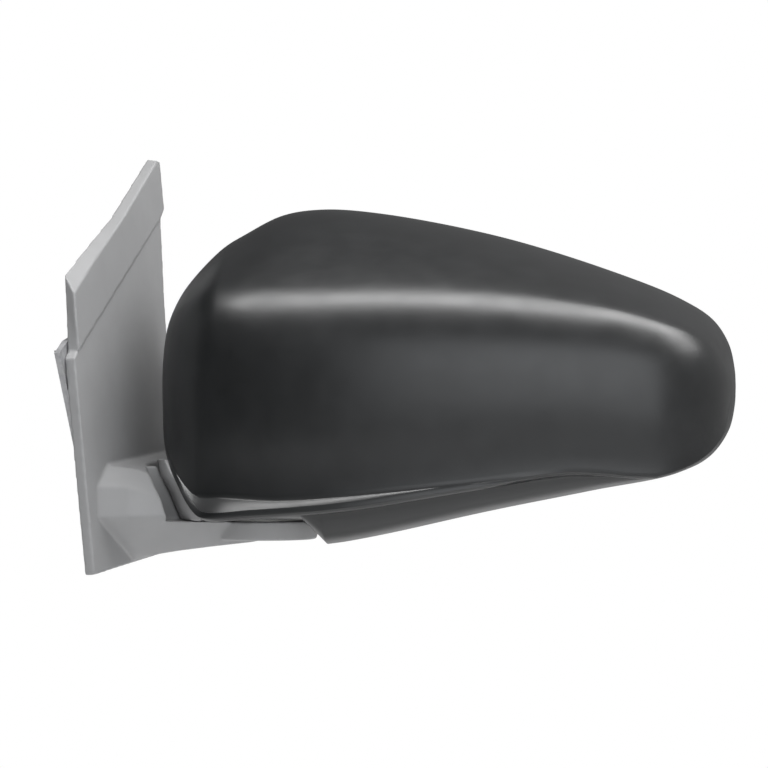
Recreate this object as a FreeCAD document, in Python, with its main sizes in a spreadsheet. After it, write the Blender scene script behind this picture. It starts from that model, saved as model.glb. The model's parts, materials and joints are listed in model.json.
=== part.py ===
import FreeCAD, Part
import math
import os
import Sketcher

os.makedirs("parts", exist_ok=True)

Vector = FreeCAD.Vector
X_DIR = Vector(1, 0, 0)
Y_DIR = Vector(0, 1, 0)
Z_DIR = Vector(0, 0, 1)
FAR = 400

# Left-hand door mirror, millimetres.  World frame: +X outboard, +Y rearward, +Z up, origin on the
# mounting plane.  Plate pieces are drawn in the plate's frame (x along its outward normal) and head
# pieces in the head's frame, whose z axis is the fold axis (x along the housing, y to the glass).

DIMENSIONS = {
    # stance
    "lean_deg": 4, "toe_deg": 10, "fold_x": 67,
    # mounting plate
    "gasket_thick": 2, "gasket_inset": 5, "bracket_thick": 2.5, "cover_face": 9, "cover_wall": 2, "band_proud": 0.8,
    "stud_radius": 3, "stud_length": 15, "stud_head_radius": 6.5, "stud_head_thick": 2,
    "stud_collar": 0.6,
    "peg_radius": 4, "peg_length": 8, "grommet_radius": 12, "grommet_bore": 7, "grommet_lip": 1.2,
    "cover_screw_radius": 1.6, "cover_screw_head": 3,
    # arm and pivot
    "platform_z": -57, "arm_radius": 24.5, "arm_wall": 2, "pocket_low": 44, "pocket_high": 50,
    "pocket_top": -33, "arm_bar_low": -62.6, "arm_bar_high": -59.2, "arm_bar_half": 13,
    "disc_radius": 19, "tube_radius": 8, "tube_bore": 5.5, "tube_top": 16, "running_gap": 0.05,
    "washer_radius": 20, "washer_thick": 1.1, "sleeve_radius": 11, "sleeve_foot": -55.8,
    "sleeve_top": 4, "sleeve_relief": 0.6, "land_length": 12, "spring_radius": 9.6,
    "spring_wire": 0.9, "retainer_low": 12.5, "retainer_radius": 10.9, "flange_thick": 3,
    "bar_start": 8, "web_start": 6.6, "web_thick": 5, "nose_low": -65, "nose_high": -55,
    "nose_taper": 2.5, "nose_gap": 5, "sleeve_web_half": 9,
    # head shells
    "shell_wall": 2.5, "joint_y": 18, "joint_gap": 0.4, "rim_y": 46, "foot_low": 33,
    "foot_high": 44.8, "foot_bottom": -56.7, "foot_top": -36, "foot_wall": 2.5, "foot_cut_x": -21,
    "sweep_reach": 7,
    # tub and glass
    "tub_floor": 11.3, "tub_thick": 1.4, "tub_gap": 5, "tub_wall": 2, "glass_radius": 1800,
    "backing_y": 29.2, "backing_thick": 2.5, "heater_thick": 0.5, "glass_thick": 2.2,
    # glass drive
    "drive_x": 91, "drive_y": 20, "drive_z": 5, "plunger_arm": 26, "case_low_x": 74,
    "case_high_x": 127.5, "case_low_z": -28, "case_high_z": 41.5, "case_front": -13, "case_split": 0,
    "case_rear": 14, "case_wall": 2, "case_post": 4, "case_screw": 1.6, "ring_radius": 10,
    "ring_bore": 6.5, "ring_thick": 4, "pin_radius": 1.8, "pin_reach": 12.8, "ear_in": 10.8,
    "ear_out": 13.6, "ear_half": 3.2, "ear_over": 2.9, "wheel_radius": 7.5, "wheel_thick": 5,
    "wheel_centre_y": -3.5, "wheel_hub": 4, "tooth_depth": 1.2, "stem_radius": 2.2,
    "stem_gap": 0.35, "stem_end": -5.5, "ball_radius": 2.9, "cup_radius": 3.6, "worm_radius": 2.6,
    "worm_ridge": 0.8, "worm_length": 10, "worm_offset": 11.2, "motor_radius": 5.5,
    "motor_length": 20, "shaft_radius": 0.8, "socket_depth": 9,
    # swivel plate
    "swivel_radius": 40, "swivel_y": 25.5, "swivel_thick": 3.7, "terminal_y": 28.3,
    # head frame
    "frame_front": -18, "frame_thick": 5, "frame_end": 158, "frame_low": -31, "frame_high": 34,
    "frame_screw": 2, "frame_screw_head": 4, "post_radius": 5, "post_x_in": 22, "post_x_out": 150,
    "post_z": 24,
}

doc = FreeCAD.newDocument("DoorMirror")


def make_sheet():
    sheet = doc.addObject("Spreadsheet::Sheet", "Dims")
    for row, (alias, value) in enumerate(DIMENSIONS.items(), start=1):
        sheet.set(f"A{row}", alias)
        sheet.set(f"B{row}", str(value))
        sheet.setAlias(f"B{row}", alias)
    doc.recompute()
    return sheet


sheet = make_sheet()
pieces = []


def dim(expression):
    """The value of an expression of sheet aliases, each written as Dims.alias."""
    return float(sheet.evalExpression(expression))


class Sizes:
    """Reads one cell by its alias, for shapes that no document feature can draw."""

    def __getattr__(self, alias):
        return float(getattr(sheet, alias))


d = Sizes()

# ---------------------------------------------------------------- placing and naming


def place_on_plate(obj):
    obj.Placement = FreeCAD.Placement(Vector(0, 0, 0), FreeCAD.Rotation(Y_DIR, -d.lean_deg))
    obj.setExpression("Placement.Rotation.Angle", "-Dims.lean_deg")
    return obj


def place_in_head(obj):
    obj.Placement = FreeCAD.Placement(Vector(d.fold_x, 0, 0), FreeCAD.Rotation(Z_DIR, d.toe_deg))
    obj.setExpression("Placement.Base.x", "Dims.fold_x")
    obj.setExpression("Placement.Rotation.Angle", "Dims.toe_deg")
    return obj


def place_on_fold_axis(obj):
    obj.setExpression("Placement.Base.x", "Dims.fold_x")
    return obj


def piece(obj, label, place=None):
    obj.Label = label
    if place:
        place(obj)
    pieces.append(obj)
    return obj


# ---------------------------------------------------------------- drawing helpers


def bind(obj, **expressions):
    for prop, expression in expressions.items():
        obj.setExpression(prop, expression)


def bind_base(obj, base):
    for axis, expression in zip("xyz", base):
        obj.setExpression(f"Placement.Base.{axis}", expression)


def cylinder(name, radius, length, base=("0", "0", "0"), along=Z_DIR):
    obj = doc.addObject("Part::Cylinder", name)
    obj.Placement = FreeCAD.Placement(Vector(0, 0, 0), FreeCAD.Rotation(Z_DIR, along))
    bind(obj, Radius=radius, Height=length)
    bind_base(obj, base)
    return obj


def cone(name, low, high, length, base):
    obj = doc.addObject("Part::Cone", name)
    bind(obj, Radius1=low, Radius2=high, Height=length)
    bind_base(obj, base)
    return obj


def ball(name, radius, base):
    obj = doc.addObject("Part::Sphere", name)
    bind(obj, Radius=radius)
    bind_base(obj, base)
    return obj


def block(name, low, high):
    """A box from its low corner to its high corner, each three expressions."""
    obj = doc.addObject("Part::Box", name)
    sizes = [f"({b}) - ({a})" for a, b in zip(low, high)]
    bind(obj, Length=sizes[0], Width=sizes[1], Height=sizes[2])
    bind_base(obj, low)
    return obj


def fuse(name, *objects):
    obj = doc.addObject("Part::MultiFuse", name)
    obj.Shapes = list(objects)
    return obj


def cut(name, base, *tools):
    obj = doc.addObject("Part::Cut", name)
    obj.Base = base
    obj.Tool = tools[0] if len(tools) == 1 else fuse(f"{name}Tools", *tools)
    return obj


def group(name, *objects):
    """Several like solids kept as one node."""
    obj = doc.addObject("Part::Compound", name)
    obj.Links = list(objects)
    return obj


def origin_plane(body, role):
    return next(feature for feature in body.Origin.OriginFeatures if feature.Role == role)


def polygon_sketch(body, plane, corners, offset=None):
    """A closed outline whose every corner is bound to two expressions."""
    sketch = body.newObject("Sketcher::SketchObject", "Outline")
    sketch.AttachmentSupport = [(origin_plane(body, plane), "")]
    sketch.MapMode = "FlatFace"
    if offset:
        sketch.setExpression("AttachmentOffset.Base.z", offset)
    values = [Vector(dim(a), dim(b), 0) for a, b in corners]
    count = len(values)
    for i in range(count):
        sketch.addGeometry(Part.LineSegment(values[i], values[(i + 1) % count]), False)
    for i in range(count):
        sketch.addConstraint(Sketcher.Constraint("Coincident", i, 2, (i + 1) % count, 1))
    for i, corner in enumerate(corners):
        for kind, expression, value in zip(("DistanceX", "DistanceY"), corner, values[i]):
            if expression == "0":
                axis = -2 if kind == "DistanceX" else -1
                sketch.addConstraint(Sketcher.Constraint("PointOnObject", i, 1, axis))
                continue
            number = sketch.addConstraint(Sketcher.Constraint(kind, -1, 1, i, 1, value))
            sketch.setExpression(f"Constraints[{number}]", expression)
    return sketch


def turned(name, corners):
    """A body turned about the z axis from (radius, height) corners."""
    body = doc.addObject("PartDesign::Body", name)
    sketch = polygon_sketch(body, "XZ_Plane", corners)
    revolution = body.newObject("PartDesign::Revolution", "Turn")
    revolution.Profile = sketch
    revolution.ReferenceAxis = (sketch, ["V_Axis"])
    revolution.Angle = 360
    return body


def ring(name, inner, outer, low, high):
    return turned(name, [(inner, low), (outer, low), (outer, high), (inner, high)])


def feature(name, shape):
    obj = doc.addObject("Part::Feature", name)
    obj.Shape = shape
    return obj


def smooth_loop(points):
    """Closed spline wire through points of the (x, z) plane, at y = 0."""
    curve = Part.BSplineCurve()
    curve.interpolate([Vector(x, 0, z) for x, z in points], PeriodicFlag=True)
    return Part.Wire(curve.toShape())


def slab(points, y_low, y_high):
    """Solid between two depths with a smooth closed outline in the head's (x, z) plane."""
    solid = Part.Face(smooth_loop(points)).extrude(Vector(0, y_high - y_low, 0))
    solid.translate(Vector(0, y_low, 0))
    return solid


def prism(points, y_low, y_high):
    """Solid between two depths with a straight-sided outline in the head's (x, z) plane."""
    corners = [Vector(x, y_low, z) for x, z in points]
    face = Part.Face(Part.makePolygon(corners + corners[:1]))
    return face.extrude(Vector(0, y_high - y_low, 0))


def grown(outline, distance):
    """A clockwise outline moved outwards by distance along its corner normals."""
    count = len(outline)
    moved = []
    for i, (u, v) in enumerate(outline):
        ahead = outline[(i + 1) % count]
        behind = outline[i - 1]
        along = Vector(ahead[0] - behind[0], ahead[1] - behind[1], 0).normalize()
        moved.append((u - along.y * distance, v + along.x * distance))
    return moved


def largest_solid(shape):
    return max(shape.Solids, key=lambda solid: solid.Volume)


# ---------------------------------------------------------------- base: plate, arm, pivot

# outlines in the plate's (y, z) plane, run round from the lower front corner
FLANGE_OUTLINE = [(-37, -76), (-69, 12.5), (-60, 17.5), (-50, 20), (-50, 34), (-30, 46), (8, 66),
                  (34, 79), (37, 60), (36, -70)]
COVER_BACK = [(-58, -79), (-64.5, 10), (-61, 13), (-59.5, 30), (-59, 44.5), (-41, 53.5), (-5, 70.5),
              (41, 98), (44.5, 97), (45, 76), (42, 73), (40, 34), (40, -72)]
COVER_FACE = [(-58, -79), (-64.5, 10), (-61, 13), (-62, 25), (-62, 36.5), (-39, 50.5), (-5, 69.2),
              (40, 97), (43.5, 96.5), (45, 76), (42, 73), (40, 34), (40, -72)]
BAND_BACK = COVER_BACK[2:11]
BAND_FACE = COVER_FACE[2:11]
HOLLOW_OUTLINE = [(-55, -75), (-61, 8), (-57, 15), (-57, 34), (-37, 47), (-4, 66), (34, 90),
                  (40, 90), (38, 36), (37, -69)]
STUD_PLACES = [(-22, 6), (24, 48), (24, -52)]
COVER_SCREW_PLACES = [(-40, -34), (-20, 38)]
PEG_PLACE = (-26, -52)
GROMMET_PLACE = (4, -30)

# arm sections from the plate outwards: x, then (y, z) of the front crease, front shoulder, front
# top, rear top, rear bottom and front bottom
ARM_SECTIONS = [
    (11.5, (-53, -55), (-50.5, -42), (-38, -33.5), (39, -29), (39, -71), (-15, -74.5)),
    (22, (-41.5, -55), (-39, -43), (-29, -35.5), (36, -33), (34, -70), (-18, -72)),
    (35, (-32, -55), (-30.5, -48), (-24, -42), (31, -42), (29, -69), (-18, -69.8)),
    (50, (-26.5, -55), (-25.5, -52), (-21, -49), (26.5, -49), (25, -67.2), (-16, -67.8)),
    (67, (-24.5, -55), (-23.8, -54), (-21, -53), (24.5, -53), (22, -65), (-14, -65.8)),
]


def plate_prism(outline, x_low, x_high):
    corners = [Vector(x_low, y, z) for y, z in outline]
    face = Part.Face(Part.makePolygon(corners + corners[:1]))
    return face.extrude(Vector(x_high - x_low, 0, 0))


def tapered(low_outline, high_outline, x_low, x_high):
    """Solid between two plate outlines with the same number of corners."""
    wires = []
    for x, outline in ((x_low, low_outline), (x_high, high_outline)):
        corners = [Vector(x, y, z) for y, z in outline]
        wires.append(Part.makePolygon(corners + corners[:1]))
    return Part.makeLoft(wires, True, True)


def plate_hole(place, radius, x_low, x_high):
    return Part.makeCylinder(radius, x_high - x_low, Vector(x_low, *place), X_DIR)


def leaned(shape):
    shape.rotate(Vector(0, 0, 0), Y_DIR, -d.lean_deg)
    return shape


def arm_solid(inset, root=0):
    """The boss and arm, shrunk by inset on every side and started root further inboard."""
    wires = []
    first = ARM_SECTIONS[0][0]
    for x, *corners in ARM_SECTIONS:
        x = x - root if x == first else x
        middle_y = sum(y for y, z in corners) / len(corners)
        middle_z = sum(z for y, z in corners) / len(corners)
        half_y = max(abs(y - middle_y) for y, z in corners)
        half_z = max(abs(z - middle_z) for y, z in corners)
        scale_y = 1 - inset / half_y
        scale_z = 1 - inset / half_z
        points = [Vector(x, middle_y + (y - middle_y) * scale_y, middle_z + (z - middle_z) * scale_z)
                  for y, z in corners]
        wires.append(Part.makePolygon(points + points[:1]))
    flare = Part.makeLoft(wires, True, True)
    radius = d.arm_radius - inset
    low = d.nose_low + inset
    height = d.nose_high - inset - low
    nose = Part.makeCone(radius - d.nose_taper, radius, height, Vector(d.fold_x, 0, low))
    return flare.fuse(nose)


def pocket_solid():
    """Room for the head's foot to turn in, above the arm's platform."""
    depth = d.pocket_top - d.platform_z
    centre = Vector(d.fold_x, 0, d.platform_z)
    bowl = Part.makeCone(d.pocket_low, d.pocket_high, depth, centre)
    top = Part.makeCylinder(d.pocket_high, depth, Vector(d.fold_x, 0, d.pocket_top))
    rear = Part.makeCylinder(d.pocket_high + 1, 2 * depth, centre)
    rear = rear.common(Part.makeBox(200, 100, 2 * depth, Vector(0, 5, d.platform_z)))
    return bowl.fuse([top, rear])


def cover_shape():
    back = d.gasket_thick + d.bracket_thick
    face = d.cover_face
    plate = leaned(tapered(COVER_BACK, COVER_FACE, back, face))
    band = leaned(tapered(BAND_BACK, BAND_FACE, back, face + d.band_proud))
    hollow = leaned(plate_prism(HOLLOW_OUTLINE, 0, face - d.cover_wall))
    behind = leaned(Part.makeBox(FAR, FAR, FAR, Vector(back - FAR, -FAR / 2, -FAR / 2)))
    outer = plate.fuse([band, arm_solid(0).cut(behind)])
    pocket = pocket_solid()
    floor_skin = Part.makeCylinder(d.pocket_high + 4, d.arm_wall,
                                   Vector(d.fold_x, 0, d.platform_z - d.arm_wall))
    inside = arm_solid(d.arm_wall, d.cover_wall + 2).cut(pocket_wall(pocket)).cut(floor_skin)
    shell = outer.cut(pocket).cut(hollow).cut(inside)
    hole = Part.makeCylinder(d.tube_radius + 1, 30, Vector(d.fold_x, 0, -60))
    return largest_solid(shell.cut(hole))


def pocket_wall(pocket):
    """The pocket grown by the arm's wall, so that the hollow keeps clear of it."""
    depth = d.pocket_top - d.platform_z
    grown = d.arm_wall + 1
    centre = Vector(d.fold_x, 0, d.platform_z)
    return pocket.fuse(Part.makeCone(d.pocket_low + grown, d.pocket_high + grown, depth, centre))


def make_base_cover():
    piece(feature("Cover", cover_shape()), "base_cover")


def make_bracket():
    low = d.gasket_thick
    plate = plate_prism(FLANGE_OUTLINE, low, low + d.bracket_thick)
    holes = [plate_hole(place, d.stud_radius + d.stud_collar, 0, 9) for place in STUD_PLACES]
    holes += [plate_hole(place, d.cover_screw_radius, 0, 9) for place in COVER_SCREW_PLACES]
    holes.append(plate_hole(PEG_PLACE, d.peg_radius - 1, 0, 9))
    holes.append(plate_hole(GROMMET_PLACE, d.grommet_radius - 2, 0, 9))
    plate = leaned(plate.cut(holes[0].fuse(holes[1:])))
    height = d.arm_bar_high - d.arm_bar_low
    bar = Part.makeBox(d.fold_x - d.bar_start, 2 * d.arm_bar_half, height,
                       Vector(d.bar_start, -d.arm_bar_half, d.arm_bar_low))
    web = Part.makeBox(d.web_thick, 2 * d.arm_bar_half, height,
                       Vector(d.web_start, -d.arm_bar_half, d.arm_bar_low))
    disc = Part.makeCylinder(d.disc_radius, height, Vector(d.fold_x, 0, d.arm_bar_low))
    bore = Part.makeCylinder(d.tube_radius, height, Vector(d.fold_x, 0, d.arm_bar_low))
    shape = plate.fuse([bar, web, disc]).cut(bore)
    piece(feature("Bracket", largest_solid(shape)), "base_bracket")


def make_gasket():
    plate = plate_prism(grown(FLANGE_OUTLINE, -d.gasket_inset), 0, d.gasket_thick)
    collar = d.stud_radius + d.stud_collar
    holes = [plate_hole(place, collar + 0.5, -1, 9) for place in STUD_PLACES]
    holes += [plate_hole(place, d.cover_screw_head + 0.4, -1, 9) for place in COVER_SCREW_PLACES]
    holes.append(plate_hole(PEG_PLACE, d.peg_radius + 1.4, -1, 9))
    holes.append(plate_hole(GROMMET_PLACE, d.grommet_radius + 0.2, -1, 9))
    gasket = feature("Gasket", plate.cut(holes[0].fuse(holes[1:])))
    piece(gasket, "base_gasket", place_on_plate)


def make_studs():
    head_low = "Dims.gasket_thick + Dims.bracket_thick"
    studs = []
    for i, (y, z) in enumerate(STUD_PLACES):
        shank = cylinder(f"Shank{i}", "Dims.stud_radius", "Dims.stud_length",
                         ("-Dims.stud_length", str(y), str(z)), X_DIR)
        collar = cylinder(f"Collar{i}", "Dims.stud_radius + Dims.stud_collar", head_low,
                          ("0", str(y), str(z)), X_DIR)
        head = cylinder(f"StudHead{i}", "Dims.stud_head_radius", "Dims.stud_head_thick",
                        (head_low, str(y), str(z)), X_DIR)
        studs.append(fuse(f"Stud{i}", shank, collar, head))
    piece(group("Studs", *studs), "mounting_studs", place_on_plate)


def make_peg():
    y, z = PEG_PLACE
    outside = cylinder("PegPin", "Dims.peg_radius", "Dims.peg_length",
                       ("-Dims.peg_length", str(y), str(z)), X_DIR)
    flange = cylinder("PegFlange", "Dims.peg_radius + 1", "Dims.gasket_thick",
                      ("0", str(y), str(z)), X_DIR)
    inside = cylinder("PegSpigot", "Dims.peg_radius - 1", "Dims.bracket_thick",
                      ("Dims.gasket_thick", str(y), str(z)), X_DIR)
    piece(fuse("Peg", outside, flange, inside), "locating_peg", place_on_plate)


def make_grommet():
    y, z = (str(value) for value in GROMMET_PLACE)
    body = cylinder("GrommetBody", "Dims.grommet_radius - 2", "Dims.bracket_thick",
                    ("Dims.gasket_thick", y, z), X_DIR)
    flange = cylinder("GrommetFlange", "Dims.grommet_radius", "Dims.gasket_thick",
                      ("0", y, z), X_DIR)
    lip = cylinder("GrommetLip", "Dims.grommet_radius - 1", "Dims.grommet_lip",
                   ("Dims.gasket_thick + Dims.bracket_thick", y, z), X_DIR)
    bore = cylinder("GrommetBore", "Dims.grommet_bore", "12", ("-2", y, z), X_DIR)
    solid = fuse("GrommetSolid", body, flange, lip)
    piece(cut("Grommet", solid, bore), "wiring_grommet", place_on_plate)


def make_cover_screws():
    screws = []
    for i, (y, z) in enumerate(COVER_SCREW_PLACES):
        head = cylinder(f"CoverScrewHead{i}", "Dims.cover_screw_head", "Dims.gasket_thick - 0.3",
                        ("0.3", str(y), str(z)), X_DIR)
        shank = cylinder(f"CoverScrewShank{i}", "Dims.cover_screw_radius",
                         "Dims.cover_face - Dims.cover_wall - Dims.gasket_thick",
                         ("Dims.gasket_thick", str(y), str(z)), X_DIR)
        screws.append(fuse(f"CoverScrew{i}", head, shank))
    piece(group("CoverScrews", *screws), "cover_screws", place_on_plate)


def make_pivot():
    tube = ring("Tube", "Dims.tube_bore", "Dims.tube_radius", "Dims.arm_bar_low", "Dims.tube_top")
    piece(tube, "pivot_tube", place_on_fold_axis)
    washer = ring("Washer", "Dims.tube_radius + 0.4", "Dims.washer_radius", "Dims.platform_z",
                  "Dims.platform_z + Dims.washer_thick")
    piece(washer, "thrust_washer", place_on_fold_axis)
    retainer = ring("Retainer", "Dims.tube_radius", "Dims.retainer_radius", "Dims.retainer_low",
                    "Dims.tube_top - 1")
    piece(retainer, "spring_retainer", place_on_fold_axis)


def make_pivot_spring():
    low = d.sleeve_top + d.spring_wire + 0.2
    high = d.retainer_low - d.spring_wire - 0.2
    turns = 3
    helix = Part.makeHelix((high - low) / turns, high - low, d.spring_radius)
    section = Part.Wire(Part.makeCircle(d.spring_wire, Vector(d.spring_radius, 0, 0), Y_DIR))
    coil = Part.Wire(helix).makePipeShell([section], True, True)
    coil.translate(Vector(0, 0, low))
    spring = feature("Spring", coil)
    piece(spring, "pivot_spring", place_on_fold_axis)


# ---------------------------------------------------------------- head: shells

# stations along the head: x, bottom z, top z, front y, rear y
HEAD_STATIONS = [
    (-45.8, -14, 4, -5, 11),
    (-44, -24, 15, -14, 20),
    (-40, -35, 33, -24, 28),
    (-33, -47, 46, -32, 34),
    (-22, -55.4, 57, -39, 40),
    (-8, -55.8, 65.5, -45, 44),
    (12, -55.8, 73.5, -49, 46),
    (40, -58, 73, -52, 46),
    (75, -57, 67.6, -52, 46),
    (110, -49.6, 58.9, -49, 46),
    (145, -42.6, 47.3, -42, 46),
    (170, -37.7, 37.2, -33, 45),
    (184, -32, 29.6, -23, 43),
    (192, -24, 20.5, -11, 39),
    (195.8, -11, 10, 3, 32),
]
MIDDLE_Y = 12
# the line where the front cap meets the lower cover
LIP_LINE = [(-60, -53.5), (-19, -54), (18, -52), (43, -50), (90, -42.4), (131, -36), (168, -42)]
# downward fin of the lower cover, just outboard of the arm
SKIRT_OUTLINE = [(22, -54), (30.5, -66.3), (39, -65), (60, -60.7), (84, -55), (84, -50), (60, -52)]

# glass outline in the head's (x, z) plane, run round from the upper inboard corner
GLASS_OUTLINE = [(2, 42), (26, 57), (62, 54.5), (98, 46.5), (132, 37.5), (162, 26), (180, 12),
                 (182, -6), (168, -21), (138, -29), (98, -37), (58, -44.5), (22, -46), (3, -33),
                 (-3, 0)]


def head_section(x, bottom, top, front, rear):
    """One closed section across the head: a smooth front with a flat rear."""
    height = top - bottom
    depth = MIDDLE_Y - front
    reach = rear - MIDDLE_Y
    edge = min(3.0, 0.12 * height)
    boxy = 0.62 + 0.12 * max(0.0, min(1.0, (80 - x) / 60))
    points = [
        (rear, bottom + edge),
        (MIDDLE_Y + 0.3 * reach, bottom),
        (MIDDLE_Y - boxy * depth, bottom + 0.035 * height),
        (MIDDLE_Y - (boxy + 0.19) * depth, bottom + 0.12 * height),
        (front, bottom + 0.42 * height),
        (MIDDLE_Y - 0.86 * depth, bottom + 0.70 * height),
        (MIDDLE_Y - 0.50 * depth, bottom + 0.90 * height),
        (MIDDLE_Y + 0.2 * reach, top),
        (rear, top - edge),
    ]
    corners = [Vector(x, y, z) for y, z in points]
    curve = Part.BSplineCurve()
    curve.interpolate(corners)
    back = Part.LineSegment(corners[-1], corners[0])
    return Part.Wire([curve.toShape(), back.toShape()])


def head_solid(inset):
    low = HEAD_STATIONS[0][0]
    high = HEAD_STATIONS[-1][0]
    middle = (low + high) / 2
    scale = 1 - inset / ((high - low) / 2)
    wires = [head_section(middle + (x - middle) * scale, bottom + inset, top - inset,
                          front + inset, rear - inset)
             for x, bottom, top, front, rear in HEAD_STATIONS]
    return Part.makeLoft(wires, True, False)


def beyond_joint(sign):
    """Everything in front of (-1) or behind (+1) the joint between cap and rear housing."""
    size = 400
    start = d.joint_y + d.joint_gap if sign > 0 else d.joint_y - size
    return Part.makeBox(size, size, size, Vector(-size / 2 + 80, start, -size / 2))


def below_lip(drop):
    outline = [(x, z - drop) for x, z in LIP_LINE] + [(168, -120), (-60, -120)]
    return prism(outline, -100, 100)


def foot_room():
    """The foot's outer cone with a gap round it, on the inboard side only."""
    gap = d.joint_gap
    height = d.foot_top - d.foot_bottom
    slope = (d.foot_high - d.foot_low) / height
    solid = Part.makeCone(d.foot_low + gap - slope, d.foot_high + gap + slope * 0.5, height + 1.5,
                          Vector(0, 0, d.foot_bottom - 1))
    side = Part.makeBox(100, 200, 60, Vector(d.foot_cut_x + gap - 100, -100, -80))
    return solid.common(side)


def arm_room():
    """Room over the arm: the round nose and its platform, and the washer and flange on it."""
    clear = d.platform_z + d.joint_gap
    flange_top = d.sleeve_foot + d.flange_thick + d.joint_gap
    washer = Part.makeCylinder(d.washer_radius + 1, flange_top - clear, Vector(0, 0, clear))
    nose = Part.makeCylinder(d.arm_radius + d.nose_gap, FAR, Vector(0, 0, clear - FAR))
    inboard = Part.makeBox(FAR, FAR, FAR, Vector(d.arm_radius - 4 - FAR, -FAR / 2, clear - FAR))
    return washer.fuse([nose, inboard])


def sweep_limit(reach=0):
    """What the pocket's wall needs kept free of the head, so that the head can fold."""
    gap = 1.5 * d.joint_gap
    depth = d.pocket_top - d.platform_z
    cone = Part.makeCone(d.pocket_low - gap, d.pocket_high - gap, depth,
                         Vector(0, 0, d.platform_z))
    zone = Part.makeBox(FAR, FAR, depth, Vector(d.foot_cut_x + reach - FAR, -FAR / 2, d.platform_z))
    return zone.cut(cone)


def skirt(inset, extra=0):
    outline = grown(SKIRT_OUTLINE[::-1], -inset) if inset else SKIRT_OUTLINE[::-1]
    front, rear = -24 + inset, d.joint_y - inset + extra
    return prism(outline, front, rear)


def make_shells():
    outer = head_solid(0)
    inner = head_solid(d.shell_wall)
    room = foot_room()
    shell = outer.cut(inner)
    front = shell.common(beyond_joint(-1))
    cap = front.cut([below_lip(0), room, sweep_limit()])
    piece(feature("Cap", largest_solid(cap)), "front_cap", place_in_head)
    fin = skirt(0).cut(skirt(d.arm_wall, 10)).cut(inner)
    lower = front.common(below_lip(d.joint_gap)).fuse(fin.common(below_lip(d.joint_gap)))
    lower = lower.cut([room, arm_room(), sweep_limit()])
    piece(feature("Lower", largest_solid(lower)), "lower_cover", place_in_head)
    make_rear_housing(outer, shell, room)


def frame_posts():
    return [(x, z) for x in (d.post_x_in, d.post_x_out) for z in (-d.post_z, d.post_z)]


def post_place(x, z):
    """Outer posts sit closer together, because the head is lower there."""
    return (x, z * 0.6) if x == d.post_x_out else (x, z)


def make_rear_housing(outer, shell, room):
    half = shell.common(beyond_joint(1))
    opening = slab(grown(GLASS_OUTLINE, d.tub_gap), d.tub_floor + d.tub_thick, d.rim_y + 10)
    tub = slab(grown(GLASS_OUTLINE, d.tub_gap + d.tub_wall), d.tub_floor, d.rim_y - 0.5)
    tub = tub.common(outer)
    window = Part.makeBox(d.case_high_x - d.case_low_x + 4, 20, d.case_high_z - d.case_low_z + 4,
                          Vector(d.case_low_x - 2, d.tub_floor - 5, d.case_low_z - 2))
    posts = []
    for x, z in frame_posts():
        x, z = post_place(x, z)
        length = d.tub_floor - (d.frame_front + d.frame_thick)
        base = Vector(x, d.frame_front + d.frame_thick, z)
        post = Part.makeCylinder(d.post_radius, length + 0.5, base, Y_DIR)
        posts.append(post.cut(Part.makeCylinder(d.frame_screw, length - 4, base, Y_DIR)))
    solid = half.fuse([tub]).cut(opening).cut(window).fuse(posts)
    solid = largest_solid(solid.cut([room, arm_room(), sweep_limit(d.sweep_reach)]))
    piece(feature("RearHousing", solid), "rear_housing", place_in_head)


def make_foot():
    height = "Dims.foot_top - Dims.foot_bottom"
    outer = cone("FootOuter", "Dims.foot_low", "Dims.foot_high", height,
                 ("0", "0", "Dims.foot_bottom"))
    inner = cone("FootInner", "Dims.foot_low - Dims.foot_wall", "Dims.foot_high - Dims.foot_wall",
                 height, ("0", "0", "Dims.foot_bottom + Dims.foot_wall"))
    hole = cylinder("FootHole", "Dims.washer_radius + 1", "20", ("0", "0", "-60"))
    side = block("FootSide", ("Dims.foot_cut_x", "-100", "-80"), ("100", "100", "0"))
    piece(cut("Foot", outer, inner, hole, side), "head_foot", place_in_head)


# ---------------------------------------------------------------- head: frame and glass drive


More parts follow.
